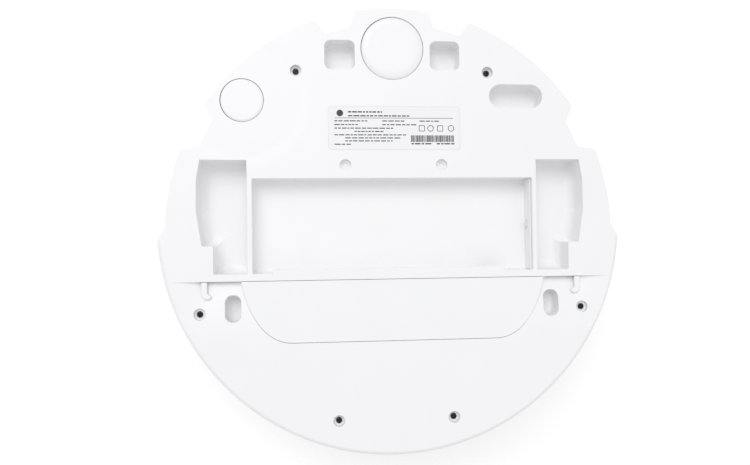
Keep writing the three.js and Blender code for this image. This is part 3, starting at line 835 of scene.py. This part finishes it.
def dust_lid():
    plate = prism("dust_lid_plate", lid_plan(80, HINGE[0], 156, 3), FACE, FACE + WALL)
    boolean(plate, [rod("barrel", -79.4, 79.4, *HINGE, 2.2, 40)], "UNION")
    finger = prism("finger", rounded_rect(0, -140, 30, 9, 4.4), FACE - 1, FACE + 1.4)
    boolean(plate, [rod("pin_hole", -90, 90, *HINGE, 1.3, 24), finger])
    tidy(plate)
    soften(plate, 0.3)
    place(plate, "lid", "white_shell", SHELL, ["dust_lid"])


def turret():
    x, y = TURRET
    r = 46
    profile = [(0, 0), (r - 3, 0)]
    for k in range(1, 7):
        a = math.pi / 2 * k / 6
        profile.append((r - 3 + 3 * math.sin(a), 2.2 * (1 - math.cos(a))))
    profile += [(r, 2.8), (r - 0.2, 3), (0, 3)]
    cap = lathe("turret_cap_dome", x, y, profile, 128)
    posts = []
    for a in (math.pi / 2, 7 * math.pi / 6, 11 * math.pi / 6):
        px, py = x + (r - 4) * math.cos(a), y + (r - 4) * math.sin(a)
        ring = []
        for u, v in ((1.8, 4.5), (-1.8, 4.5), (-1.8, -4.5), (1.8, -4.5)):
            ring.append((px + u * math.cos(a) - v * math.sin(a), py + u * math.sin(a) + v * math.cos(a)))
        posts.append(prism("post", filleted(ring, {0: 1, 1: 1, 2: 1, 3: 1}), 2.3, 13.7))
    boolean(cap, posts, "UNION")
    tidy(cap)
    soften(cap, 0.25, 2)
    place(cap, BODY, "white_shell", SHELL, ["turret_cap"])

    rotor = lathe("lidar_rotor_drum", x, y, [
        (0, 3.4), (35, 3.4), (35.7, 3.7), (36, 4.4), (36, 12.6), (35.6, 13), (30, 13), (30, 28), (0, 28),
    ], 128)
    boolean(rotor, [box("window", x + dx - 4, x + dx + 4, y + 33, y + 40, 6, 11) for dx in (-9, 11)])
    tidy(rotor)
    soften(rotor, 0.15, 2)
    place(rotor, "lidar", "dark_plastic", DARK, ["lidar_rotor"])


def buttons():
    for side, name, body in ((-1, "power_button", "power"), (1, "home_button", "home")):
        profile = [(0, 13.75), (5.5, 13.65), (7.4, 13.6), (7.85, 13.75), (8, 14.2), (8, 17.4)]
        profile += [(9.4, 17.4), (9.4, 18.5), (0, 18.5)]
        cap = lathe(f"{name}_cap", side * BUTTON_X, BUTTON_Y, profile, 64)
        soften(cap, 0)
        place(cap, body, "button_plastic", BUTTON, [name])


def exhaust_grille():
    grille = exhaust_sector("exhaust_grille_vent", 171.5, 174.4, 54.3, 67.7, -72.8, -53.2, 24)
    cutters = []
    count, half_slot = 9, 0.63
    for i in range(count):
        mid = -73 + 20 * (i + 0.5) / count
        cutters.append(exhaust_sector("slot", 165, 180, 56, 66, mid - half_slot, mid + half_slot, 2))
    boolean(grille, cutters)
    tidy(grille)
    soften(grille, 0.25, 2)
    place(grille, BODY, "ivory_plastic", IVORY, ["exhaust_grille"])


base_cover()
rear_panel()
catch(-1, "catch_right")
catch(1, "catch_left")
wells()
brush_bay()
cups()
discs()
screws()
rating_label()
top_cover()
dust_lid()
turret()
buttons()
exhaust_grille()


# ---- floor and light ----

def stage():
    reach = 15000
    floor = box("floor", -reach, reach, -reach, reach, -20, -0.2)
    floor.data.transform(Matrix.Scale(MM, 4))
    pale = material("floor_pale", (0.62, 0.62, 0.62), (0.64, 0.64, 0.64), (0.7, 0.8), 0.02, 50,
                    spread=3, glow=0.40)
    floor.data.materials.append(pale)
    world = bpy.data.worlds.new("studio")
    bpy.context.scene.world = world
    world.use_nodes = True
    sky = world.node_tree.nodes["Background"]
    sky.inputs["Color"].default_value = (1, 1, 1, 1)
    sky.inputs["Strength"].default_value = 0.67
    for name, spot, size, power in (
        ("key", (-0.8, 1.7, 3.4), 2.4, 56.0),
        ("fill", (1.8, -1.0, 2.8), 3.2, 9.5),
    ):
        data = bpy.data.lights.new(name, "AREA")
        data.size = size
        data.energy = power
        lamp = bpy.data.objects.new(name, data)
        bpy.context.scene.collection.objects.link(lamp)
        lamp.location = spot
        lamp.rotation_euler = (-Vector(spot)).to_track_quat("-Z", "Y").to_euler()
    bpy.context.scene.view_settings.view_transform = "Standard"


stage()


# ---- CAD nodes carried over ----

LOOKS = {
    "white_shell": SHELL, "ivory_plastic": IVORY, "button_plastic": BUTTON, "dark_plastic": DARK,
    "grey_plastic": GREY, "smoked_plastic": SMOKE, "label": LABEL, "dark_screw": SCREW,
    "motor_steel": STEEL, "battery_wrap": WRAP, "circuit_board": BOARD, "filter_paper": PAPER,
    "belt_rubber": RUBBER,
}


def dress_cad():
    slots = {row["node"]: row["material_slot"] for row in frame["record"]["subparts"]}
    for name, obj in frame["nodes"].items():
        if obj.hide_render:
            continue
        obj.data.materials.clear()
        obj.data.materials.append(LOOKS[slots[name]])


dress_cad()
